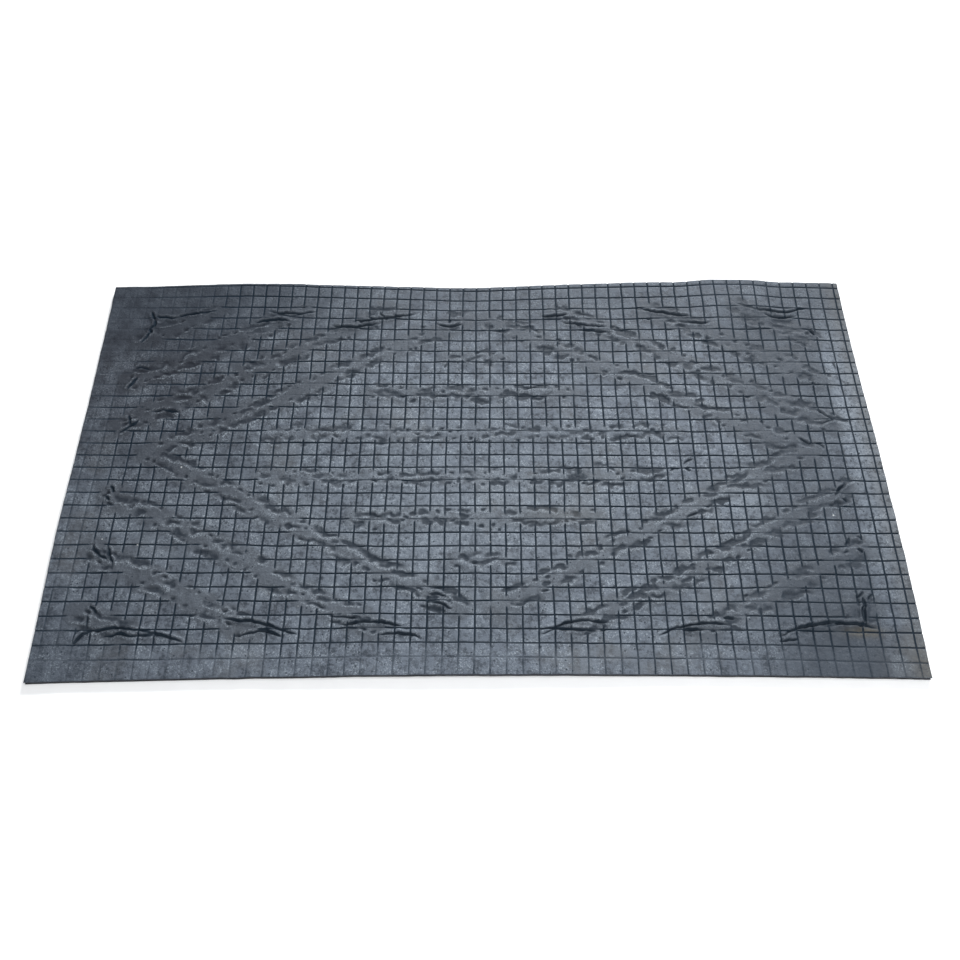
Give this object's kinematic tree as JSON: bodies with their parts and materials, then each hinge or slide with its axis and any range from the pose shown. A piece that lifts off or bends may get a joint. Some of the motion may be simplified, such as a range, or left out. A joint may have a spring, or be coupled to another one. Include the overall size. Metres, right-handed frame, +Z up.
{
  "type": "seedling heat mat",
  "caption": "Laminated rubber heat mat with zigzag heater ribbons sealed inside; seedling trays stand on its grooved top, and a cord gland sits in its rear edge.",
  "frame": {"origin": "on the floor under the middle of the sheet", "axes": "+X along the long side, +Y towards the edge with the cord entry, +Z up out of the grooved face"},
  "size_m": [1.11, 0.632, 0.0125],
  "materials": {
    "rubber_base": "matt black rubber, flat underside",
    "rubber_border": "matt black rubber, cut edge",
    "rubber_cover": "satin blue-grey rubber moulded with a fine square grid, mottled and scuffed",
    "rubber_bush": "soft black rubber",
    "foam": "closed-cell foam rubber",
    "foil": "bright thin foil",
    "scrim": "open glass weave",
    "film": "thin amber film",
    "screen": "fine knitted mesh",
    "ribbon": "woven glass tape",
    "resistance_wire": "flat resistance tape",
    "supply_wire": "flat tinned copper braid",
    "fuse": "moulded phenolic",
    "splice": "crimped barrels",
    "gland": "moulded nylon",
    "screw": "cross-recessed pan head"
  },
  "bodies": {
    "root": {"base_sheet": "rubber_base", "border_strip_front": "rubber_border", "border_strip_left": "rubber_border", "border_strip_right": "rubber_border", "border_strip_rear_long": "rubber_border", "border_strip_rear_short": "rubber_border", "top_cover": "rubber_cover", "cord_hood": "rubber_cover", "gland_bush": "rubber_bush", "insulation_pad": "foam", "reflector_foil": "foil", "carrier_scrim": "scrim", "insulating_film": "film", "earth_screen": "screen", "heater_ribbon_diamond_left": "ribbon", "heater_ribbon_diamond_right": "ribbon", "heater_ribbon_second": "ribbon", "heater_ribbon_third": "ribbon", "heater_ribbon_corner": "ribbon", "heater_ribbon_bars": "ribbon", "heating_wire_diamond_left": "resistance_wire", "heating_wire_diamond_right": "resistance_wire", "heating_wire_second": "resistance_wire", "heating_wire_third": "resistance_wire", "heating_wire_corner": "resistance_wire", "heating_wire_bars": "resistance_wire", "live_bus": "supply_wire", "live_feed": "supply_wire", "neutral_bus": "supply_wire", "border_links": "supply_wire", "bar_links": "supply_wire", "thermal_fuse_case": "fuse", "thermal_fuse_lid": "fuse", "splice_barrels": "splice", "gland_lower": "gland", "gland_upper": "gland", "gland_screws": "screw"}
  },
  "joints": []
}
